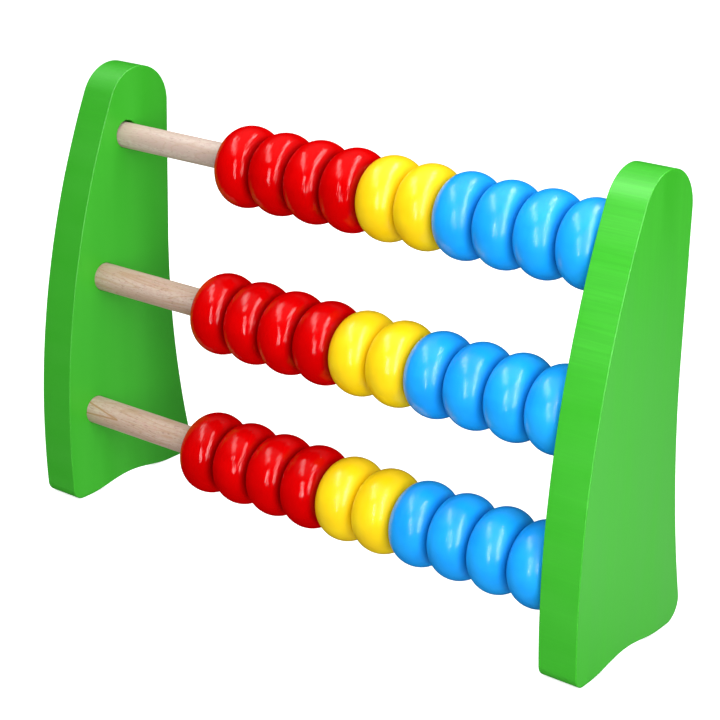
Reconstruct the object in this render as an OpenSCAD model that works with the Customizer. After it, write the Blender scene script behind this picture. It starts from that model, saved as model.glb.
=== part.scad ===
// Counting abacus: two wooden end panels, three dowels and thirty ring beads that slide on them.
// +X runs along the dowels to the right panel, -Y is the front and +Z is up.
// The origin is the middle of the footprint, on the surface that the feet stand on.

/* [Frame] */
// Clear distance between the two end panels
inner_l = 220; // [205:1:280]
// Thickness of an end panel
panel_t = 15; // [12:0.5:20]
// Height of an end panel
panel_h = 170; // [160:1:180]

/* [Panel outline] */
// How far the bulge of the front edge stands in front of the origin
front_reach = 34; // [33:0.5:36]
// Height at which the front edge bulges most
front_z = 28; // [20:1:36]
// Radius of the convex front edge
front_r = 318; // [300:1:340]
// Radius of the rounded top
top_r = 16; // [13:0.5:18]
// Lean of the straight upper half of the rear edge, in degrees
rear_lean = 1; // [0:0.5:3]
// Height at which the rear edge stops being straight
rear_z = 101; // [90:1:115]
// Radius of the hollow lower half of the rear edge
rear_r = 373; // [340:1:420]
// Corner radius of the front foot
front_foot_r = 5; // [3:0.5:6]
// Corner radius of the rear foot
rear_foot_r = 7.5; // [5:0.5:9]
// Height of the shallow arch between the feet
arch_h = 2.6; // [1:0.2:6]
// Half the width of that arch
arch_w = 23.5; // [16:0.5:24]
// How far behind the origin the middle of that arch lies
arch_y = -1.5; // [-2:0.5:1]

/* [Dowels] */
// Diameter of the middle and the bottom dowel
rod_d = 11; // [9:0.5:12]
// Diameter of the top dowel, which is a thinner one
top_rod_d = 10; // [9:0.5:12]
// Depth of the blind holes that hold the dowels
seat_depth = 10; // [6:0.5:11]
// Room round a glued dowel, on the diameter
seat_play = 0.1; // [0.04:0.02:0.2]
// Room round the top dowel, on the diameter: it is loose in its holes
top_seat_play = 0.9; // [0.2:0.1:2]

/* [Beads] */
// Outer diameter of a bead
bead_d = 31; // [30:0.5:34]
// Width of a bead along its dowel
bead_w = 16.4; // [14:0.1:18]
// Depth of the rounded rim, measured from the outer diameter
rim_b = 6.8; // [5:0.1:7]
// Diameter of the hole through a bead
bore_d = 13.5; // [12.8:0.1:14]
// Red beads on each dowel, from the left
red_beads = 4; // [1:1:4]
// Yellow beads on each dowel
yellow_beads = 2; // [1:1:3]
// Blue beads on each dowel, up to the right panel
blue_beads = 4; // [1:1:4]

/* [Hidden] */
$fn = 96;
// Space between neighbouring beads that are pushed together
bead_gap = 0.08;
// Clearance between the top of a dowel and the bead that hangs on it
hang_gap = 0.05;
// Eased edge at each mouth of a bead's hole, and at each end of a dowel
bore_ease = 0.5;
rod_ease = 1;

// Each row: its name, the depth and the height of its dowel's axis, and the dowel's diameter
ROWS = [
    ["top", 2.5, 143.8, top_rod_d],
    ["middle", -12, 89.5, rod_d],
    ["bottom", -19.1, 35.5, rod_d]
];

bead_n = red_beads + yellow_beads + blue_beads;
bead_pitch = bead_w + bead_gap;
rod_l = inner_l + 2 * seat_depth;

// A bead is named after its row, its colour and its place within that colour, from the left
function is_red(k) = k < red_beads;
function is_yellow(k) = !is_red(k) && k < red_beads + yellow_beads;
function hue(k) = is_red(k) ? "red" : is_yellow(k) ? "yellow" : "blue";
function first_of(k) = is_red(k) ? 0 : is_yellow(k) ? red_beads : red_beads + yellow_beads;
function bead_name(row, k) = str(row[0], "_", hue(k), "_bead_", k - first_of(k) + 1);

// Points along an arc of n steps about the centre c, from angle a0 to angle a1
function arc(c, r, a0, a1, n) =
    [for (i = [0:n]) c + r * [cos(a0 + (a1 - a0) * i / n), sin(a0 + (a1 - a0) * i / n)]];

// Direction from one point to another, as an angle from 0 to 360
function heading(from, to) = (atan2(to.y - from.y, to.x - from.x) + 360) % 360;

// The side outline of an end panel, as [depth, height]: tangent arcs round the front edge,
// the top and the hollow rear edge, a rounded corner on each foot, and the arch between the feet
function panel_outline() =
    let (
        front_c = [front_r - front_reach, front_z],
        top_z = panel_h - top_r,
        top_c = [front_c.x - sqrt(pow(front_r - top_r, 2) - pow(top_z - front_z, 2)), top_z],
        back = [cos(rear_lean), -sin(rear_lean)],
        up = [sin(rear_lean), cos(rear_lean)],
        rear_top = top_c + top_r * back,
        rear_end = rear_top + (rear_z - rear_top.y) / up.y * up,
        rear_c = rear_end + rear_r * back,
        rear_foot_x = rear_c.x - sqrt(pow(rear_r + rear_foot_r, 2) - pow(rear_c.y - rear_foot_r, 2)),
        rear_foot_c = [rear_foot_x, rear_foot_r],
        front_foot_x = front_c.x - sqrt(pow(front_r - front_foot_r, 2) - pow(front_z - front_foot_r, 2)),
        front_foot_c = [front_foot_x, front_foot_r],
        low = heading(front_c, front_foot_c),
        high = heading(front_c, top_c),
        turn = heading(rear_c, rear_foot_c)
    )
    concat(
        arc(front_foot_c, front_foot_r, 270, low, 8),
        arc(front_c, front_r, low, high, 16),
        arc(top_c, top_r, high, -rear_lean, 18),
        arc(rear_c, rear_r, 180 - rear_lean, turn, 10),
        arc(rear_foot_c, rear_foot_r, turn - 180, -90, 10),
        [for (i = [0:16]) let (s = 1 - i / 8) [arch_y + arch_w * s, arch_h / 2 * (1 + cos(180 * s))]]
    );

function seat_d(row) = row[3] + (row[0] == "top" ? top_seat_play : seat_play);

// A blind hole can sit higher than its dowel, because the dowel lies at the bottom of the hole
module seats(x) {
    for (row = ROWS)
        translate([x, row[1], row[2] + (seat_d(row) - row[3] - seat_play) / 2])
            rotate([0, 90, 0]) cylinder(d = seat_d(row), h = seat_depth);
}

module panel(x) {
    translate([x, 0, 0]) rotate([90, 0, 90]) linear_extrude(panel_t) polygon(panel_outline());
}

module left_panel() {
    color("limegreen") difference() {
        panel(-inner_l / 2 - panel_t);
        seats(-inner_l / 2 - seat_depth);
    }
}

module right_panel() {
    color("limegreen") difference() {
        panel(inner_l / 2);
        seats(inner_l / 2);
    }
}

module rod(row) {
    rod_r = row[3] / 2;
    color("burlywood") translate([-rod_l / 2, row[1], row[2]]) rotate([0, 90, 0])
        rotate_extrude() polygon([
            [0, 0], [rod_r - rod_ease, 0], [rod_r, rod_ease],
            [rod_r, rod_l - rod_ease], [rod_r - rod_ease, rod_l], [0, rod_l]
        ]);
}

// Half of a bead's cross-section: an elliptical rim round a flat-sided middle with an eased hole
function rim(n) =
    [for (i = [0:n]) let (a = -90 + 180 * i / n)
        [bead_d / 2 - rim_b * (1 - cos(a)), bead_w / 2 * sin(a)]];

module bead(row, k) {
    x = inner_l / 2 - bead_gap - bead_w / 2 - (bead_n - 1 - k) * bead_pitch;
    bore_r = bore_d / 2;
    drop = bore_r - row[3] / 2 - hang_gap;
    color(hue(k)) translate([x, row[1], row[2] - drop]) rotate([0, 90, 0])
        rotate_extrude() polygon(concat(
            [[bore_r, bore_ease - bead_w / 2], [bore_r + bore_ease, -bead_w / 2]],
            rim(26),
            [[bore_r + bore_ease, bead_w / 2], [bore_r, bead_w / 2 - bore_ease]]
        ));
}

left_panel();
right_panel();
for (row = ROWS)
    rod(row);
for (row = ROWS, k = [0:bead_n - 1])
    bead(row, k);
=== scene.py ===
"""Looks of a three-row counting abacus: painted end panels, bare dowels and lacquered ring beads."""

import math
import random

import bpy
import numpy as np
from mathutils import Matrix, Vector, noise
from mathutils.geometry import delaunay_2d_cdt


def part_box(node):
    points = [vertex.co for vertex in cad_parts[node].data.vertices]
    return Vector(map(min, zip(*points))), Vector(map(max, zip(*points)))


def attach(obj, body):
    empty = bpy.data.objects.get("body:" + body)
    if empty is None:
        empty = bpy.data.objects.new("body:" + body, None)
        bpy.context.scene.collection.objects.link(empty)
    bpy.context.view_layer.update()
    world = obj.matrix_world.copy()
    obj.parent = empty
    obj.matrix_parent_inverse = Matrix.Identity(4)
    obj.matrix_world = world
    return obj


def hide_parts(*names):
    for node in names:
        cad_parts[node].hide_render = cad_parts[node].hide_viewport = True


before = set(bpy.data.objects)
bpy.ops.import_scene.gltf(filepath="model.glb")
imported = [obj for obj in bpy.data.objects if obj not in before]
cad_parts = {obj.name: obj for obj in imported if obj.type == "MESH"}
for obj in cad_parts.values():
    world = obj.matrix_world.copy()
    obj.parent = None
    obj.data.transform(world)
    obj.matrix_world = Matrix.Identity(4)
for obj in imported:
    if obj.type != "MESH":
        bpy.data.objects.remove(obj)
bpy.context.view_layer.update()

MM = 0.001

# ---- Driving dimensions, in metres. Places and overall sizes come from the parts in model.glb. ----

# Panel outline
FRONT_R = 318 * MM
FRONT_Z = 28 * MM
TOP_R = 16 * MM
REAR_LEAN = math.radians(1)
REAR_Z = 101 * MM
REAR_R = 373 * MM
FRONT_FOOT_R = 5 * MM
REAR_FOOT_R = 7.5 * MM
ARCH_H = 2.6 * MM
ARCH_W = 23.5 * MM
ARCH_Y = -1.5 * MM

# Rounding where a panel's faces meet its edge: its radius, how much that varies, and the
# variation's waves per metre along the outline and from panel to panel
ARRIS_R = 0.35 * MM
ARRIS_SPREAD = 0.25
ARRIS_WAVES = 60
PANEL_WAVES = 40

# Blind holes in the panels; the play is the hole's diameter less the dowel's
SEAT_DEPTH = 10 * MM
SEAT_PLAY = 0.1 * MM
TOP_SEAT_PLAY = 0.9 * MM
SEAT_EASE = 0.3 * MM
# The share of the arris's lighter colour, partly wear and partly painted highlight, on the hole's eased
# mouth
SEAT_WEAR_AND_LIGHT = 0.6

# Dowels, and the step in the grain's pattern from one to the next, in metres
ROD_EASE = 1 * MM
ROD_GRAIN_STEP = (7.0, 3.0, 0.0)

# Beads
RIM_B = 6.8 * MM
BORE_D = 13.5 * MM
BORE_EASE = 0.5 * MM

# How much the beads differ: in diameter, in the depth of the rim, and in their place in the grain
BEAD_SHRINK = 0.008
RIM_SPREAD = 0.03
GRAIN_ROOM = 5
BEAD_SEED = 20

# The beads of each colour on a dowel, from the left, and the way along X that each panel's inner
# face looks
ROWS = ("top", "middle", "bottom")
HUES = {"red": 4, "yellow": 2, "blue": 4}
PANELS = {"left_panel": 1, "right_panel": -1}

# Mesh spacing
CURVE_POINTS = 400
OUTLINE_STEP = 0.6 * MM
FACE_STEP = 4 * MM
ARRIS_STEPS = 6
EASE_STEPS = 4
EDGE_SHARES = (0.2, 0.4, 0.6, 0.8)
TURN_STEPS = 96
HOLE_STEPS = 64
ROD_STEPS = 60
RIM_STEPS = 40
SIDE_SHARES = (0.33, 0.66)
BORE_SHARES = (0.5, 0, -0.5)


def middle_of(node):
    low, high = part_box(node)
    return (low + high) / 2


def size_of(node):
    low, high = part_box(node)
    return high - low


# ---- Meshes ----


def make_piece(name, verts, faces, normals, materials, kinds=None, floats=None, vectors=None, flat=()):
    """A mesh object with the given vertex normals and attributes.

    kinds gives each face's material number. The faces numbered in flat keep their own normal.
    """
    mesh = bpy.data.meshes.new(name)
    mesh.from_pydata(np.asarray(verts, float).tolist(), [], faces)
    mesh.polygons.foreach_set("use_smooth", [True] * len(faces))
    for material in materials:
        mesh.materials.append(material)
    if kinds is not None:
        mesh.polygons.foreach_set("material_index", kinds)
    for label, values in (floats or {}).items():
        layer = mesh.attributes.new(label, "FLOAT", "POINT")
        layer.data.foreach_set("value", np.asarray(values, np.float32))
    for label, values in (vectors or {}).items():
        layer = mesh.attributes.new(label, "FLOAT_VECTOR", "POINT")
        layer.data.foreach_set("vector", np.asarray(values, np.float32).ravel())
    mesh.update()
    owners = np.empty(len(mesh.loops), np.int32)
    mesh.loops.foreach_get("vertex_index", owners)
    corners = np.asarray(normals, float)[owners]
    for number in flat:
        polygon = mesh.polygons[number]
        start = polygon.loop_start
        corners[start : start + polygon.loop_total] = polygon.normal
    mesh.normals_split_custom_set(corners.tolist())
    piece = bpy.data.objects.new(name, mesh)
    bpy.context.scene.collection.objects.link(piece)
    return piece


def band(first, second, count):
    """Quads between two closed rings of count vertices that start at the given numbers."""
    return [
        (first + i, second + i, second + (i + 1) % count, first + (i + 1) % count)
        for i in range(count)
    ]


# ---- Panels ----


def heading(a, b):
    return math.atan2(b[1] - a[1], b[0] - a[0]) % math.tau


def arc(centre, radius, start, end):
    angles = np.linspace(start, end, CURVE_POINTS)
    return np.array(centre) + radius * np.stack([np.cos(angles), np.sin(angles)], axis=1)


def outline_curve(reach, height):
    """The panel's closed outline in Y and Z, up the front, over the top and down the rear."""
    front_c = (FRONT_R - reach, FRONT_Z)
    top_z = height - TOP_R
    top_c = (front_c[0] - math.sqrt((FRONT_R - TOP_R) ** 2 - (top_z - FRONT_Z) ** 2), top_z)
    back = np.array([math.cos(REAR_LEAN), -math.sin(REAR_LEAN)])
    up = np.array([math.sin(REAR_LEAN), math.cos(REAR_LEAN)])
    rear_top = np.array(top_c) + TOP_R * back
    rear_end = rear_top + (REAR_Z - rear_top[1]) / up[1] * up
    rear_c = rear_end + REAR_R * back
    drop = rear_c[1] - REAR_FOOT_R
    rear_foot_c = (rear_c[0] - math.sqrt((REAR_R + REAR_FOOT_R) ** 2 - drop**2), REAR_FOOT_R)
    rise = FRONT_Z - FRONT_FOOT_R
    front_foot_c = (
        front_c[0] - math.sqrt((FRONT_R - FRONT_FOOT_R) ** 2 - rise**2),
        FRONT_FOOT_R,
    )
    low, high = heading(front_c, front_foot_c), heading(front_c, top_c)
    turn = heading(rear_c, rear_foot_c)
    share = np.linspace(1, -1, CURVE_POINTS)
    arch = np.stack(
        [ARCH_Y + ARCH_W * share, ARCH_H / 2 * (1 + np.cos(math.pi * share))], axis=1
    )
    return np.vstack(
        [
            arc(front_foot_c, FRONT_FOOT_R, math.radians(270), low),
            arc(front_c, FRONT_R, low, high),
            arc(top_c, TOP_R, high, -REAR_LEAN),
            arc(rear_c, REAR_R, math.pi - REAR_LEAN, turn),
            arc(rear_foot_c, REAR_FOOT_R, turn - math.pi, math.radians(-90)),
            arch,
        ]
    )


def even_steps(curve, step):
    """Points spaced evenly along a closed curve, and the outward direction at each."""
    closed = np.vstack([curve, curve[:1]])
    run = np.concatenate([[0], np.cumsum(np.hypot(*np.diff(closed, axis=0).T))])
    places = np.linspace(0, run[-1], round(run[-1] / step), endpoint=False)
    line = np.stack([np.interp(places, run, closed[:, k]) for k in (0, 1)], axis=1)
    along = np.roll(line, -1, axis=0) - np.roll(line, 1, axis=0)
    along /= np.linalg.norm(along, axis=1, keepdims=True)
    return line, np.stack([-along[:, 1], along[:, 0]], axis=1)


def quarter_turn(steps):
    return np.linspace(0, math.pi / 2, steps + 1)


class MeshParts:
    """Vertices and faces collected piece by piece."""

    def __init__(self):
        self.verts, self.normals, self.arris = [], [], []
        self.faces, self.kinds, self.flat = [], [], []

    def ring(self, points, normals, arris=0.0):
        start = len(self.verts)
        self.verts.extend(points)
        self.normals.extend(normals)
        self.arris.extend([arris] * len(points))
        return start

    def add_faces(self, faces, kind, flat=False):
        if flat:
            self.flat.extend(range(len(self.faces), len(self.faces) + len(faces)))
        self.faces.extend(faces)
        self.kinds.extend([kind] * len(faces))


def fill_face(parts, x, way, rings, kind):
    """A flat face at x that looks the given way along X, between its outline and its holes.

    rings holds the numbers of the first vertex and the count of each bounding ring, the outline first.
    """
    numbers = [start + i for start, count in rings for i in range(count)]
    points = [Vector((parts.verts[n][1], parts.verts[n][2])) for n in numbers]
    edges, base = [], 0
    for _, count in rings:
        edges += [(base + i, base + (i + 1) % count) for i in range(count)]
        base += count
    outline = np.array(points[: rings[0][1]])
    holes = []
    base = rings[0][1]
    for _, count in rings[1:]:
        hole = np.array(points[base : base + count])
        holes.append((hole.mean(axis=0), np.ptp(hole[:, 0]) / 2))
        base += count
    for y in np.arange(outline[:, 0].min(), outline[:, 0].max(), FACE_STEP):
        for z in np.arange(outline[:, 1].min(), outline[:, 1].max(), FACE_STEP):
            spot = np.array([y, z])
            near = np.hypot(*(outline - spot).T).min() < FACE_STEP / 2
            in_hole = any(np.hypot(*(spot - c)) < r + FACE_STEP / 2 for c, r in holes)
            if not near and not in_hole and inside(outline, spot):
                numbers.append(parts.ring([(x, y, z)], [(way, 0, 0)]))
                points.append(Vector((y, z)))
    found = delaunay_2d_cdt(points, edges, [], 1, 1e-9)
    back = [source[0] for source in found[3]]
    faces = []
    for corners in found[2]:
        spot = np.mean([points[back[c]] for c in corners], axis=0)
        if any(np.hypot(*(spot - c)) < r for c, r in holes):
            continue
        if not inside(outline, spot):
            continue
        face = [numbers[back[c]] for c in corners]
        faces.append(face if way > 0 else face[::-1])
    parts.add_faces(faces, kind)


def inside(outline, spot):
    """Whether a point lies inside a closed line, by counting the crossings of a ray along Y."""
    nxt = np.roll(outline, -1, axis=0)
    spans = (outline[:, 1] > spot[1]) != (nxt[:, 1] > spot[1])
    a, b = outline[spans], nxt[spans]
    cross = a[:, 0] + (spot[1] - a[:, 1]) / (b[:, 1] - a[:, 1]) * (b[:, 0] - a[:, 0])
    return np.count_nonzero(cross > spot[0]) % 2 == 1


def arris_radius(x, y, z):
    """The radius of the rounding beside a point of the outline, on the panel at x."""
    spot = Vector((y * ARRIS_WAVES, z * ARRIS_WAVES, x * PANEL_WAVES))
    return ARRIS_R * (1 + ARRIS_SPREAD * noise.noise(spot))


def make_panel(node, way, materials):
    """An end panel. way is the direction along X in which the face with the holes looks."""
    low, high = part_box(node)
    parts = MeshParts()
    line, outward = even_steps(outline_curve(-low.y, high.z), OUTLINE_STEP)
    count = len(line)
    seat_x, outer_x = (high.x, low.x) if way > 0 else (low.x, high.x)
    radii = np.array([arris_radius(low.x, y, z) for y, z in line])

    def edge_ring(face_x, face_way, turn):
        """A ring on the rounding: turn 0 lies in the face and a quarter turn in the edge."""
        inset = radii * (1 - math.sin(turn))
        depth = radii * (1 - math.cos(turn))
        yz = line - outward * inset[:, None]
        xs = face_x - face_way * depth
        tilt = np.column_stack(
            [np.full(count, face_way * math.cos(turn)), outward * math.sin(turn)]
        )
        return parts.ring(np.column_stack([xs, yz]), tilt, math.sin(2 * turn))

    turns = quarter_turn(ARRIS_STEPS)
    rings = [edge_ring(outer_x, -way, t) for t in turns]
    for share in EDGE_SHARES:
        xs = np.full(count, outer_x + (seat_x - outer_x) * share)
        rings.append(parts.ring(np.column_stack([xs, line]), np.column_stack([xs * 0, outward])))
    rings += [edge_ring(seat_x, way, t) for t in turns[::-1]]
    for first, second in zip(rings, rings[1:]):
        quads = band(first, second, count)
        parts.add_faces(quads if way > 0 else [q[::-1] for q in quads], 1)
    fill_face(parts, outer_x, -way, [(rings[0], count)], 0)

    mouths = []
    for row in ROWS:
        rod = middle_of(f"{row}_rod")
        rod_d = size_of(f"{row}_rod").z
        play = TOP_SEAT_PLAY if row == "top" else SEAT_PLAY
        centre = Vector((0, rod.y, rod.z + (play - SEAT_PLAY) / 2))
        mouths.append((make_seat(parts, centre, (rod_d + play) / 2, seat_x, way), HOLE_STEPS))
    fill_face(parts, seat_x, way, [(rings[-1], count)] + mouths, 0)
    return make_piece(
        f"painted_{node}",
        parts.verts,
        parts.faces,
        parts.normals,
        materials,
        parts.kinds,
        {"arris": parts.arris},
        flat=parts.flat,
    )


def make_seat(parts, centre, radius, face_x, way):
    """A blind hole with an eased mouth. Returns its first vertex, on the mouth's ring."""
    angles = np.linspace(0, math.tau, HOLE_STEPS, endpoint=False)
    spokes = np.stack([np.cos(angles), np.sin(angles)], axis=1)

    def hole_ring(r, depth, turn):
        yz = np.array(centre[1:]) + r * spokes
        xs = np.full(HOLE_STEPS, face_x - way * depth)
        tilt = np.column_stack([np.full(HOLE_STEPS, way * math.cos(turn)), -spokes * math.sin(turn)])
        return parts.ring(np.column_stack([xs, yz]), tilt, SEAT_WEAR_AND_LIGHT * math.sin(2 * turn))

    rings = [
        hole_ring(radius + SEAT_EASE * (1 - math.sin(t)), SEAT_EASE * (1 - math.cos(t)), t)
        for t in quarter_turn(EASE_STEPS)
    ]
    rings.append(hole_ring(radius, SEAT_DEPTH, math.pi / 2))
    for first, second in zip(rings, rings[1:]):
        quads = band(first, second, HOLE_STEPS)
        parts.add_faces(quads if way < 0 else [q[::-1] for q in quads], 1)
    floor_x = face_x - way * SEAT_DEPTH
    tip = parts.ring([(floor_x, centre.y, centre.z)], [(way, 0, 0)])
    last = rings[-1]
    fan = [(last + i, last + (i + 1) % HOLE_STEPS, tip) for i in range(HOLE_STEPS)]
    parts.add_faces(fan if way > 0 else [f[::-1] for f in fan], 1, flat=True)
    return rings[0]


# ---- Turned pieces ----


def revolve(profile, centre, closed):
    """Vertices, normals and quads of a profile turned about an axis along X through centre.

    profile holds rows of place along X, radius, and the normal's two parts.
    """
    angles = np.linspace(0, math.tau, TURN_STEPS, endpoint=False)
    spokes = np.stack([np.zeros(TURN_STEPS), np.sin(angles), np.cos(angles)], axis=1)
    along = np.array([1.0, 0.0, 0.0])
    x, r, nx, nr = (column[:, None, None] for column in np.array(profile, float).T)
    verts = (np.array(centre) + x * along + r * spokes).reshape(-1, 3)
    normals = (nx * along + nr * spokes).reshape(-1, 3)
    rows = len(profile)
    faces = []
    for k in range(rows if closed else rows - 1):
        faces += band(k * TURN_STEPS, (k + 1) % rows * TURN_STEPS, TURN_STEPS)
    return verts, normals, faces


# The way, in Y and Z, that the bottom dowel's pointed figure looks
FIGURE_FACING = Vector((0, -0.91, 0.41))


def make_rod(node, materials):
    """A dowel with eased ends.

    Its figure attribute holds a point's place from the left end, and across and towards the figure.
    """
    centre = middle_of(node)
    size = size_of(node)
    half, radius = size.x / 2, size.z / 2
    profile = []
    for t in quarter_turn(EASE_STEPS):
        x = half - ROD_EASE * (1 - math.cos(t))
        profile.append((-x, radius - ROD_EASE * (1 - math.sin(t)), -math.cos(t), math.sin(t)))
    for x in np.linspace(-half + ROD_EASE, half - ROD_EASE, ROD_STEPS)[1:-1]:
        profile.append((x, radius, 0, 1))
    for t in quarter_turn(EASE_STEPS)[::-1]:
        x = half - ROD_EASE * (1 - math.cos(t))
        profile.append((x, radius - ROD_EASE * (1 - math.sin(t)), math.cos(t), math.sin(t)))
    verts, normals, faces = revolve(profile, centre, closed=False)
    for end, first in ((-1, 0), (1, (len(profile) - 1) * TURN_STEPS)):
        tip = len(verts)
        verts = np.vstack([verts, (centre.x + end * half, centre.y, centre.z)])
        normals = np.vstack([normals, (end, 0, 0)])
        fan = [(first + i, first + (i + 1) % TURN_STEPS, tip) for i in range(TURN_STEPS)]
        faces.extend(fan if end < 0 else [f[::-1] for f in fan])
    rest = verts - np.array([0, centre.y, centre.z])
    shift = np.array(ROD_GRAIN_STEP) * (1 + ROWS.index(node.split("_")[0]))
    level, facing = Vector((0, FIGURE_FACING.z, -FIGURE_FACING.y)), FIGURE_FACING
    figure = np.column_stack([verts[:, 0] - (centre.x - half), rest @ level, rest @ facing])
    return make_piece(
        f"bare_{node}",
        verts,
        faces,
        normals,
        materials,
        vectors={"grain": rest + shift, "figure": figure},
    )


RIM_ZONE, SIDE_ZONE, BORE_ZONE = range(3)


def bead_profile(width, diameter, rim_b, bore_r):
    """The closed profile of a bead, from the middle of its rim round to the bore and back."""
    half = width / 2
    rows = []
    for a in np.linspace(-math.pi / 2, math.pi / 2, RIM_STEPS + 1):
        r = diameter / 2 - rim_b * (1 - math.cos(a))
        normal = Vector((math.sin(a) / half, math.cos(a) / rim_b)).normalized()
        rows.append((half * math.sin(a), r, normal.x, normal.y, RIM_ZONE))
    side_r = diameter / 2 - rim_b
    ease_r = bore_r + BORE_EASE
    for share in SIDE_SHARES:
        rows.append((half, side_r + (ease_r - side_r) * share, 1, 0, SIDE_ZONE))
    for t in quarter_turn(EASE_STEPS):
        x = half - BORE_EASE * (1 - math.cos(t))
        rows.append((x, bore_r + BORE_EASE * (1 - math.sin(t)), math.cos(t), -math.sin(t), SIDE_ZONE))
    for share in BORE_SHARES:
        rows.append(((half - BORE_EASE) * share, bore_r, 0, -1, BORE_ZONE))
    mirrored = [(-x, r, -nx, nr, zone) for x, r, nx, nr, zone in rows if zone == SIDE_ZONE]
    rows.extend(mirrored[::-1])
    return rows


def make_bead(node, materials, draw):
    """A ring bead with its own small departure from the drawn profile.

    Its side attribute is 0 in the bead's middle plane and 1 on its sides, where it places painted shade;
    lathe holds the run along the profile, and the place across the axis.
    """
    centre = middle_of(node)
    size = size_of(node)
    diameter = size.z * (1 - draw.uniform(0, BEAD_SHRINK))
    rim_b = RIM_B * draw.uniform(1 - RIM_SPREAD, 1 + RIM_SPREAD)
    rows = bead_profile(size.x, diameter, rim_b, BORE_D / 2)
    profile = [row[:4] for row in rows]
    verts, normals, faces = revolve(profile, centre, closed=True)
    run = np.concatenate(
        [[0], np.cumsum([math.dist(a[:2], b[:2]) for a, b in zip(rows, rows[1:])])]
    )
    turn = draw.uniform(0, math.tau)
    shift = np.array([draw.uniform(0, GRAIN_ROOM) for _ in range(3)])
    spin = np.array(Matrix.Rotation(turn, 3, "X"))
    rest = (verts - np.array(centre)) @ spin.T
    lathe = np.column_stack([np.repeat(run, TURN_STEPS), rest[:, 1:]])
    zone = np.repeat([row[4] for row in rows], TURN_STEPS)
    kinds = (zone == BORE_ZONE).astype(np.int32)
    side = np.repeat([abs(row[0]) / (size.x / 2) for row in rows], TURN_STEPS)
    tone = draw.uniform(-1, 1)
    return make_piece(
        f"lacquered_{node}",
        verts,
        faces,
        normals,
        materials,
        kinds,
        floats={"side": side, "tone": [tone] * len(verts)},
        vectors={"grain": rest + shift, "lathe": lathe + shift},
    )


# ---- Materials ----


def add_node(tree, kind, inputs, output=0, settings=None):
    """A node with its settings and inputs; an input is a socket or a value, by name or number."""
    node = tree.nodes.new(kind)
    for label, value in (settings or {}).items():
        setattr(node, label, value)
    for key, value in inputs.items():
        if isinstance(value, bpy.types.NodeSocket):
            tree.links.new(value, node.inputs[key])
        else:
            node.inputs[key].default_value = value
    return node.outputs[output] if node.outputs else node


class Shader:
    """A material's node tree, with short calls for the nodes that these materials use."""

    def __init__(self, name, **constants):
        self.material = bpy.data.materials.new(name)
        self.material.use_nodes = True
        self.nodes = self.material.node_tree.nodes
        self.links = self.material.node_tree.links
        self.nodes.clear()
        self.surface = self.nodes.new("ShaderNodeBsdfPrincipled")
        output = self.nodes.new("ShaderNodeOutputMaterial")
        self.links.new(self.surface.outputs[0], output.inputs["Surface"])
        for label, value in constants.items():
            self.surface.inputs[label.replace("_", " ")].default_value = value

    def add(self, kind, inputs, output=0, **settings):
        """A node with its settings and inputs; the inputs are sockets or values, by name or number."""
        return add_node(self.material.node_tree, kind, inputs, output, settings)

    def place(self):
        return self.add("ShaderNodeTexCoord", {}, "Object")

    def attribute(self, label, output="Fac"):
        return self.add("ShaderNodeAttribute", {}, output, attribute_name=label)

    def stretch(self, vector, scale):
        return self.add("ShaderNodeMapping", {"Vector": vector, "Scale": scale})

    def noise(self, vector, detail=2.0, roughness=0.5, distortion=0.0):
        inputs = {
            "Vector": vector,
            "Scale": 1.0,
            "Detail": detail,
            "Roughness": roughness,
            "Distortion": distortion,
        }
        return self.add("ShaderNodeTexNoise", inputs, "Fac")

    def math(self, operation, *values):
        return self.add("ShaderNodeMath", dict(enumerate(values)), operation=operation)

    def axes(self, vector):
        node = self.nodes.new("ShaderNodeSeparateXYZ")
        self.links.new(vector, node.inputs[0])
        return node.outputs

    def span(self, value, low, high, to_low=0.0, to_high=1.0, ease="SMOOTHSTEP"):
        """value carried from low..high to to_low..to_high, and held beyond them."""
        inputs = {
            "Value": value,
            "From Min": low,
            "From Max": high,
            "To Min": to_low,
            "To Max": to_high,
        }
        return self.add("ShaderNodeMapRange", inputs, interpolation_type=ease)

    def mix(self, share, first, second):
        inputs = {0: share, 6: first, 7: second}
        return self.add("ShaderNodeMix", inputs, 2, data_type="RGBA")

    def bump(self, height, distance, under=None):
        inputs = {"Height": height, "Distance": distance, "Strength": 1.0}
        if under is not None:
            inputs["Normal"] = under
        return self.add("ShaderNodeBump", inputs)

    def drive(self, **sockets):
        for label, socket in sockets.items():
            self.links.new(socket, self.surface.inputs[label.replace("_", " ")])
        return self.material


def rgb(r, g, b):
    return (r, g, b, 1.0)


def per_mm(x, y, z):
    """A noise scale in cycles per millimetre along each axis."""
    return (x / MM, y / MM, z / MM)


# A span of four numbers says where in a pattern something comes in, and its share at each end.
# MOST is the two values that most of a noise lies between.
MOST = (0.3, 0.7)

# ---- Paint ----

GREEN = rgb(0.046, 0.490, 0.020)
GREEN_DEEP = rgb(0.039, 0.460, 0.016)
GREEN_WORN_AND_LIT = rgb(0.075, 0.590, 0.034)
GREEN_LINE = rgb(0.030, 0.370, 0.012)
PAINT_ROUGHNESS = (0.36, 0.44)

# The paint's orange peel, and how much of an arris it leaves worn and lighter: partly real wear, partly a
# painted highlight along the rounding
PEEL_SCALE = per_mm(0.9, 0.9, 0.9)
PEEL_DEPTH = 0.012 * MM
WORN_AND_LIT_SPAN = (0.3, 0.65, 0, 0.35)

# The lines grow stronger upwards and to the right, from the given share to the whole
LINES_HIGH = (90 * MM, 160 * MM)
LINES_RIGHT = (-0.1, 0.1)
LINES_LEAST = 0.4

# Painted shade: the left panel is darker towards the rear, where the beads shade its inner face, and most
# so low down
GREEN_PAINTED_SHADE = rgb(0.020, 0.265, 0.007)
PAINTED_SHADE_LEFT = (0, -0.1)
PAINTED_SHADE_REAR = (-4 * MM, 32 * MM)
PAINTED_SHADE_LOW = (150 * MM, 80 * MM)
PAINTED_SHADE_LEAST = 0.3


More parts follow.
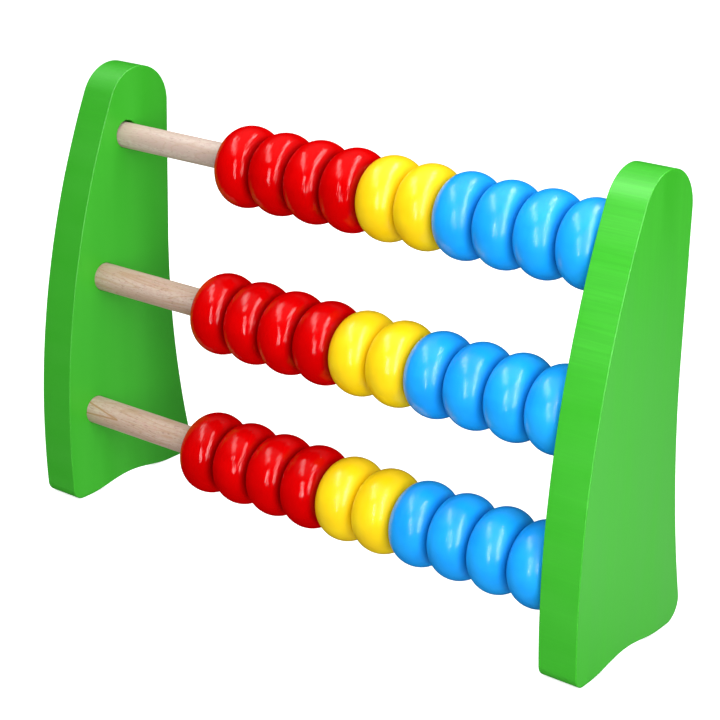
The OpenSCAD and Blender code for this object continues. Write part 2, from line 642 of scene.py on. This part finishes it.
def green_paint(name, line_scale, line_depth, line_share, cloud_scale):
    """Satin green paint over wood, with the lines that sanding and grain leave in it, a lighter worn
    arris that is partly a painted highlight, and painted shade towards the rear of the left panel.
    """
    shader = Shader(name, IOR=1.5, Specular_IOR_Level=0.45)
    place = shader.place()
    across, back, up = shader.axes(place)
    lines = shader.noise(shader.stretch(place, line_scale), detail=4, roughness=0.62)
    clouds = shader.noise(shader.stretch(place, cloud_scale), detail=3)
    peel = shader.noise(shader.stretch(place, PEEL_SCALE), detail=2)
    tone = shader.mix(shader.span(clouds, *MOST), GREEN_DEEP, GREEN)
    # Painted shade on the left panel: darker towards the rear and low down
    painted_shade = shader.math("MULTIPLY", shader.span(across, *PAINTED_SHADE_LEFT), shader.span(back, *PAINTED_SHADE_REAR))
    low = shader.span(up, *PAINTED_SHADE_LOW, PAINTED_SHADE_LEAST, 1)
    tone = shader.mix(shader.math("MULTIPLY", painted_shade, low), tone, GREEN_PAINTED_SHADE)
    strong = shader.math("ADD", shader.span(up, *LINES_HIGH), shader.span(across, *LINES_RIGHT))
    lines = shader.math("MULTIPLY", lines, shader.span(strong, 0, 2, LINES_LEAST, 1))
    tone = shader.mix(shader.span(lines, *MOST, line_share, 0), tone, GREEN_LINE)
    # Lighter arris: partly worn paint, partly a painted highlight along the rounding
    worn_and_lit = shader.math("MULTIPLY", shader.attribute("arris"), shader.span(peel, *WORN_AND_LIT_SPAN))
    relief = shader.bump(peel, PEEL_DEPTH, shader.bump(lines, line_depth))
    return shader.drive(
        Base_Color=shader.mix(worn_and_lit, tone, GREEN_WORN_AND_LIT),
        Roughness=shader.span(clouds, *MOST, *PAINT_ROUGHNESS),
        Normal=relief,
    )


# ---- Lacquer ----


class Hue:
    """A lacquer's colours, side being painted shade for the bead's flat sides, and how strongly its coat
    and the colour below it shine.
    """

    def __init__(self, base, deep, thin, side, coat, sheen):
        self.base, self.deep, self.thin, self.side = rgb(*base), rgb(*deep), rgb(*thin), rgb(*side)
        self.coat, self.sheen = coat, sheen


# Each hue's side colour is painted shade for the bead's flat sides, where neighbouring beads meet
LACQUERS = {
    "red": Hue(
        base=(0.62, 0.0006, 0.001),
        deep=(0.54, 0.0004, 0.0008),
        thin=(0.68, 0.002, 0.003),
        side=(0.20, 0.0002, 0.0005),
        coat=0.5,
        sheen=0.0,
    ),
    "yellow": Hue(
        base=(0.94, 0.67, 0.004),
        deep=(0.88, 0.58, 0.002),
        thin=(0.98, 0.76, 0.02),
        side=(0.74, 0.49, 0.003),
        coat=0.30,
        sheen=0.20,
    ),
    "blue": Hue(
        base=(0.008, 0.365, 0.94),
        deep=(0.004, 0.31, 0.88),
        thin=(0.02, 0.44, 0.97),
        side=(0.003, 0.13, 0.45),
        coat=0.32,
        sheen=0.22,
    ),
}

# Scales and depths of the turning marks, of the waves that they ride on and of the wood's fibres
RING_SCALE = per_mm(1.6, 0.06, 0.06)
RING_DEPTH = 0.075 * MM
WAVE_SCALE = per_mm(0.22, 0.1, 0.1)
WAVE_DEPTH = 0.12 * MM
FIBRE_SCALE = per_mm(0.12, 1.4, 1.4)
COAT_FIBRE_DEPTH = 0.05 * MM
BODY_FIBRE_DEPTH = 0.012 * MM
LACQUER_CLOUD_SCALE = per_mm(0.05, 0.09, 0.09)
BODY_ROUGHNESS = (0.28, 0.38)
COAT_ROUGHNESS = (0.02, 0.05)

# How much the beads differ in tone, and where the thin colour and the painted shade on the sides, where
# neighbouring beads meet, come in
TONE_SHARE = 0.25
THIN_SPAN = (0.55, 0.8, 0, 0.18)
PAINTED_SIDE_SHADE_SPAN = (0.72, 1.0, 0, 0.8)


def lacquer(name, hue):
    """Glossy lacquer on a turned bead: tool rings break up the coat's gloss, and painted shade darkens
    the sides.
    """
    shader = Shader(
        name,
        IOR=1.5,
        Specular_IOR_Level=hue.sheen,
        Coat_Weight=hue.coat,
        Coat_IOR=1.45,
    )
    lathe = shader.attribute("lathe", "Vector")
    grain = shader.attribute("grain", "Vector")
    rings = shader.noise(shader.stretch(lathe, RING_SCALE), detail=1, roughness=0.6)
    waves = shader.noise(shader.stretch(lathe, WAVE_SCALE), detail=1)
    fibres = shader.noise(shader.stretch(grain, FIBRE_SCALE), detail=3, roughness=0.6)
    clouds = shader.noise(shader.stretch(grain, LACQUER_CLOUD_SCALE), detail=2)
    own_tone = shader.math("MULTIPLY", shader.attribute("tone"), TONE_SHARE)
    depth = shader.math("ADD", shader.span(clouds, *MOST), own_tone)
    body = shader.mix(shader.math("MINIMUM", depth, 1.0), hue.deep, hue.base)
    body = shader.mix(shader.span(fibres, *THIN_SPAN), body, hue.thin)
    # Painted shade: darker towards the flat sides, for the crevices between touching beads and their dark
    # rims
    side = shader.span(shader.attribute("side"), *PAINTED_SIDE_SHADE_SPAN)
    under = shader.bump(waves, WAVE_DEPTH)
    coat = shader.bump(fibres, COAT_FIBRE_DEPTH, shader.bump(rings, RING_DEPTH, under))
    return shader.drive(
        Base_Color=shader.mix(side, body, hue.side),
        Roughness=shader.span(rings, *MOST, *BODY_ROUGHNESS),
        Normal=shader.bump(fibres, BODY_FIBRE_DEPTH, under),
        Coat_Roughness=shader.span(fibres, *MOST, *COAT_ROUGHNESS),
        Coat_Normal=coat,
    )


# ---- Wood ----

WOOD = rgb(0.50, 0.355, 0.265)
WOOD_PALE = rgb(0.62, 0.50, 0.41)
WOOD_PINK = rgb(0.53, 0.335, 0.28)
WOOD_GREY = rgb(0.74, 0.69, 0.68)
WOOD_LINE = rgb(0.44, 0.29, 0.20)
WOOD_FLECK = rgb(0.27, 0.15, 0.11)
WOOD_FIGURE = rgb(0.40, 0.22, 0.09)

# Scales of the wood's patterns; the growth noise is cut into contours that show as lines
WOOD_FIBRE_SCALE = per_mm(0.05, 1.6, 1.6)
BAND_SCALE = per_mm(0.012, 0.28, 0.28)
GROWTH_SCALE = per_mm(0.022, 0.20, 0.20)
GROWTH_CONTOURS = 9.0
MOTTLE_SCALE = per_mm(0.55, 1.1, 1.1)
FLECK_SCALE = per_mm(0.5, 2.2, 2.2)
WOOD_ROUGHNESS = (0.52, 0.66)
WOOD_FIBRE_DEPTH = 0.03 * MM
FLECK_DEPTH = 0.02 * MM
PINK_SPAN = (0.42, 0.68, 0, 0.8)
PALE_SPAN = (0.22, 0.42, 0.7, 0)
LINE_SPAN = (0.5, 0.8, 0, 0.5)
CONTOUR_SPAN = (0.02, 0.16, 0.32, 0)
FLECK_SPAN = (0.60, 0.72, 0, 0.5)

# Two brown lines on the bottom dowel that meet in a point: their length, heights and thickness
FIGURE_LENGTH = 17 * MM
FIGURE_POINT = -0.9 * MM
FIGURE_UPPER = 3.2 * MM
FIGURE_LOWER = -1.0 * MM
FIGURE_LINE = 0.45 * MM

# The lines' strength and thinnest share, the wedge between them, and where the figure fades out
FIGURE_SHARE = 0.85
FIGURE_CORE = 0.2
WEDGE_EDGE = 0.3
WEDGE_SPAN = (0.1, 0.45, 0.6, 0)
TIP_FADE = (0, 0.03)
FACING_FADE = (0, 1 * MM)


def pointed_figure(shader):
    """How strongly the two brown lines show, and the darker wood between them near the point."""
    along, level, facing = shader.axes(shader.attribute("figure", "Vector"))
    run = shader.span(along, SEAT_DEPTH, SEAT_DEPTH + FIGURE_LENGTH, 1, 0, ease="LINEAR")
    height = shader.math("SUBTRACT", level, FIGURE_POINT)
    over = shader.math("SUBTRACT", height, shader.math("MULTIPLY", run, FIGURE_LOWER))
    under = shader.math("SUBTRACT", shader.math("MULTIPLY", run, FIGURE_UPPER), height)
    nearer = shader.math("MINIMUM", shader.math("ABSOLUTE", over), shader.math("ABSOLUTE", under))
    lines = shader.span(nearer, FIGURE_CORE * FIGURE_LINE, FIGURE_LINE, FIGURE_SHARE, 0)
    between = shader.span(shader.math("MINIMUM", over, under), 0, WEDGE_EDGE * FIGURE_LINE)
    wedge = shader.math("MULTIPLY", between, shader.span(run, *WEDGE_SPAN))
    length = shader.span(run, *TIP_FADE)
    near = shader.math("MULTIPLY", length, shader.span(facing, *FACING_FADE))
    return shader.math("MULTIPLY", shader.math("MAXIMUM", lines, wedge), near)


def bare_wood(name, grey=0.0, figured=False):
    """Bare beech, with fibres along X, growth lines, short dark flecks and, where asked, a figure.

    grey is how far the wood is washed out.
    """
    shader = Shader(name, IOR=1.45, Specular_IOR_Level=0.2)
    grain = shader.attribute("grain", "Vector")
    fibres = shader.noise(shader.stretch(grain, WOOD_FIBRE_SCALE), detail=4, roughness=0.6)
    bands = shader.noise(shader.stretch(grain, BAND_SCALE), detail=2)
    growth = shader.noise(shader.stretch(grain, GROWTH_SCALE), detail=1, distortion=0.4)
    mottle = shader.noise(shader.stretch(grain, MOTTLE_SCALE), detail=4, roughness=0.7)
    flecks = shader.noise(shader.stretch(grain, FLECK_SCALE), detail=1)
    body = shader.mix(shader.span(bands, *MOST), WOOD, WOOD_PALE)
    body = shader.mix(shader.span(mottle, *PINK_SPAN), body, WOOD_PINK)
    body = shader.mix(shader.span(mottle, *PALE_SPAN), body, WOOD_PALE)
    body = shader.mix(shader.span(fibres, *LINE_SPAN), body, WOOD_LINE)
    wave = shader.math("FRACT", shader.math("MULTIPLY", growth, GROWTH_CONTOURS))
    contour = shader.math("ABSOLUTE", shader.math("SUBTRACT", wave, 0.5))
    body = shader.mix(shader.span(contour, *CONTOUR_SPAN), body, WOOD_FIGURE)
    body = shader.mix(shader.span(flecks, *FLECK_SPAN), body, WOOD_FLECK)
    if grey:
        body = shader.mix(grey, body, WOOD_GREY)
    if figured:
        body = shader.mix(pointed_figure(shader), body, WOOD_FIGURE)
    relief = shader.bump(flecks, FLECK_DEPTH, shader.bump(fibres, WOOD_FIBRE_DEPTH))
    return shader.drive(
        Base_Color=body,
        Roughness=shader.span(fibres, *MOST, *WOOD_ROUGHNESS),
        Normal=relief,
    )


# ---- Build ----


def build_panels():
    face = green_paint(
        "green_paint_face",
        line_scale=per_mm(0.5, 0.9, 0.025),
        line_depth=0.010 * MM,
        line_share=0.18,
        cloud_scale=per_mm(0.1, 0.10, 0.012),
    )
    edge = green_paint(
        "green_paint_edge",
        line_scale=per_mm(0.02, 1.3, 1.3),
        line_depth=0.040 * MM,
        line_share=0.55,
        cloud_scale=per_mm(0.02, 0.12, 0.12),
    )
    for node, way in PANELS.items():
        panel = make_panel(node, way, [face, edge])
        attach(panel, "frame")
        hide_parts(node)


def build_rods(beech):
    woods = {
        "top": bare_wood("pale_beech", grey=0.2),
        "middle": beech,
        "bottom": bare_wood("figured_beech", figured=True),
    }
    for row in ROWS:
        rod = make_rod(f"{row}_rod", [woods[row]])
        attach(rod, "frame")
        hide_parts(f"{row}_rod")


def build_beads(beech):
    lacquers = {name: lacquer(f"{name}_lacquer", hue) for name, hue in LACQUERS.items()}
    draw = random.Random(BEAD_SEED)
    for row in ROWS:
        for hue, count in HUES.items():
            for number in range(1, count + 1):
                node = f"{row}_{hue}_bead_{number}"
                bead = make_bead(node, [lacquers[hue], beech], draw)
                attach(bead, node)
                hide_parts(node)


# ---- Camera ----

CAMERA_AT = Vector((0.41618, -0.52625, 0.33403))
CAMERA_AZIMUTH = 37.83
CAMERA_ELEVATION = 19.45
CAMERA_ROLL = 0.573
CAMERA_LENS = 97.9
CAMERA_SHIFT = -0.0694
CAMERA_SENSOR = 36
CAMERA_CLIP = (0.01, 50)


def make_camera():
    data = bpy.data.cameras.new("camera")
    data.sensor_width = CAMERA_SENSOR
    data.lens = CAMERA_LENS
    data.shift_y = CAMERA_SHIFT
    data.clip_start, data.clip_end = CAMERA_CLIP
    camera = bpy.data.objects.new("camera", data)
    azimuth, elevation = math.radians(CAMERA_AZIMUTH), math.radians(CAMERA_ELEVATION)
    turn = Matrix.Rotation(azimuth, 4, "Z") @ Matrix.Rotation(math.pi / 2 - elevation, 4, "X")
    roll = Matrix.Rotation(math.radians(CAMERA_ROLL), 4, "Z")
    camera.matrix_world = Matrix.Translation(CAMERA_AT) @ turn @ roll
    bpy.context.scene.collection.objects.link(camera)
    bpy.context.scene.camera = camera


# ---- Floor and light ----

FLOOR_RADIUS = 6.0
FLOOR_RINGS = 24
FLOOR_SPOKES = 72
FLOOR_COLOUR = rgb(0.92, 0.92, 0.92)
FLOOR_GLOW = 0.65


def make_floor():
    """A wide pale floor: a fine-meshed disc that reaches past every view."""
    verts = [(0, 0, 0)]
    for k in range(1, FLOOR_RINGS + 1):
        radius = FLOOR_RADIUS * (k / FLOOR_RINGS) ** 2
        for i in range(FLOOR_SPOKES):
            angle = math.tau * i / FLOOR_SPOKES
            verts.append((radius * math.cos(angle), radius * math.sin(angle), 0))
    faces = [(0, 1 + i, 1 + (i + 1) % FLOOR_SPOKES) for i in range(FLOOR_SPOKES)]
    for k in range(FLOOR_RINGS - 1):
        faces += band(1 + k * FLOOR_SPOKES, 1 + (k + 1) * FLOOR_SPOKES, FLOOR_SPOKES)
    mesh = bpy.data.meshes.new("floor")
    mesh.from_pydata(verts, [], faces)
    shader = Shader(
        "pale_floor",
        Base_Color=FLOOR_COLOUR,
        Roughness=0.9,
        Specular_IOR_Level=0.1,
        Emission_Color=rgb(1, 1, 1),
        Emission_Strength=FLOOR_GLOW,
    )
    mesh.materials.append(shader.material)
    floor = bpy.data.objects.new("floor", mesh)
    floor.visible_glossy = False
    floor.visible_diffuse = False
    bpy.context.scene.collection.objects.link(floor)


def glowing_mesh(name, verts, faces, radiance, mirrored):
    """A light of the given shape that the camera doesn't see: the gloss mirrors it, or it only lights."""
    mesh = bpy.data.meshes.new(name)
    mesh.from_pydata([tuple(v) for v in verts], [], faces)
    material = bpy.data.materials.new(name)
    material.use_nodes = True
    tree = material.node_tree
    tree.nodes.clear()
    glow = add_node(tree, "ShaderNodeEmission", {"Strength": radiance})
    add_node(tree, "ShaderNodeOutputMaterial", {"Surface": glow})
    mesh.materials.append(material)
    light = bpy.data.objects.new(name, mesh)
    light.visible_camera = False
    light.visible_glossy = mirrored
    light.visible_diffuse = not mirrored
    light.visible_shadow = False
    bpy.context.scene.collection.objects.link(light)


def aim(azimuth, elevation):
    """The direction from the object towards azimuth, from -Y round to +X, and elevation, in degrees."""
    a, e = math.radians(azimuth), math.radians(elevation)
    return Vector((math.sin(a) * math.cos(e), -math.cos(a) * math.cos(e), math.sin(e)))


# The point that the strips of light bend round, and the steps between two points of a strip's path
LIT_MIDDLE = Vector((0, 0, 85 * MM))
STRIP_STEPS = 8


def light_strip(name, path, width, radiance, distance=0.9, mirrored=True):
    """A glowing ribbon bent round the object.

    path holds azimuths and elevations, and width is in degrees too.
    """
    ways = [aim(*spot) for spot in path]
    line = []
    for a, b in zip(ways, ways[1:]):
        line += [a.slerp(b, k / STRIP_STEPS) for k in range(STRIP_STEPS)]
    line.append(ways[-1])
    verts = []
    for k, way in enumerate(line):
        ahead = line[min(k + 1, len(line) - 1)] - line[max(k - 1, 0)]
        side = way.cross(ahead).normalized() * math.tan(math.radians(width / 2))
        verts += [LIT_MIDDLE + (way - side) * distance, LIT_MIDDLE + (way + side) * distance]
    faces = [(2 * k, 2 * k + 1, 2 * k + 3, 2 * k + 2) for k in range(len(line) - 1)]
    glowing_mesh(name, verts, faces, radiance, mirrored)


def floor_glow(half_x, half_y, radiance):
    """Light off the floor round the object, which reaches the lower parts most."""
    verts = [(x * half_x, y * half_y, MM) for x, y in ((-1, -1), (1, -1), (1, 1), (-1, 1))]
    glowing_mesh("floor_glow", verts, [(0, 1, 2, 3)], radiance, mirrored=False)


# The surround's strength for the camera, for what it lights and for what the gloss mirrors. The last
# two rise between a low and a high direction, given by their height on a unit sphere.
WORLD_SHOWN = 1.0
FILL_HEIGHTS = (-0.6, 0.95)
FILL_STRENGTHS = (0.32, 0.60)
GLOSS_HEIGHTS = (0.5, 0.95)
GLOSS_STRENGTHS = (0.0, 0.5)


def make_world():
    """A white surround that is dimmer for the lighting, and dark low down for the gloss."""
    world = bpy.data.worlds.new("studio")
    bpy.context.scene.world = world
    world.use_nodes = True
    tree = world.node_tree
    tree.nodes.clear()

    def add(kind, inputs, output=0):
        return add_node(tree, kind, inputs, output)

    way = add("ShaderNodeTexCoord", {}, "Generated")
    height = add("ShaderNodeSeparateXYZ", {"Vector": way}, "Z")

    def rise(heights, strengths):
        inputs = {
            "Value": height,
            "From Min": heights[0],
            "From Max": heights[1],
            "To Min": strengths[0],
            "To Max": strengths[1],
        }
        return add("ShaderNodeMapRange", inputs)

    mirrored = rise(GLOSS_HEIGHTS, GLOSS_STRENGTHS)
    fill = rise(FILL_HEIGHTS, FILL_STRENGTHS)
    glossy = add("ShaderNodeLightPath", {}, "Is Glossy Ray")
    camera = add("ShaderNodeLightPath", {}, "Is Camera Ray")
    lit = add("ShaderNodeMix", {0: glossy, 2: fill, 3: mirrored})
    strength = add("ShaderNodeMix", {0: camera, 2: lit, 3: WORLD_SHOWN})
    shade = add("ShaderNodeBackground", {"Color": rgb(1, 1, 1), "Strength": strength})
    add("ShaderNodeOutputWorld", {"Surface": shade})


def make_lights():
    """Narrow strips for the gloss to mirror, and broad soft lights that it doesn't."""
    light_strip(
        "front_strip",
        path=[(21, -12), (18, 10), (13, 30)],
        width=5,
        radiance=26.0,
    )
    light_strip(
        "front_strip_top",
        path=[(0, 45), (-25, 57), (-60, 60), (-95, 55)],
        width=10,
        radiance=9.5,
    )
    light_strip(
        "side_strip",
        path=[(54, -8), (56, 24), (64, 48), (95, 67), (135, 70), (175, 60)],
        width=7,
        radiance=18.0,
    )
    light_strip("back_card", path=[(126, -34), (126, -6)], width=28, radiance=1.0, distance=0.39)
    light_strip(
        "key",
        path=[(52, 0), (52, 42)],
        width=42,
        radiance=5.6,
        distance=0.5,
        mirrored=False,
    )
    floor_glow(half_x=0.27, half_y=0.2, radiance=0.7)
    light_strip(
        "overhead",
        path=[(-90, 62), (90, 62)],
        width=50,
        radiance=3.2,
        distance=0.7,
        mirrored=False,
    )


beech = bare_wood("beech")
build_panels()
build_rods(beech)
build_beads(beech)
make_camera()
make_floor()
make_world()
make_lights()
bpy.context.scene.view_settings.view_transform = "Standard"
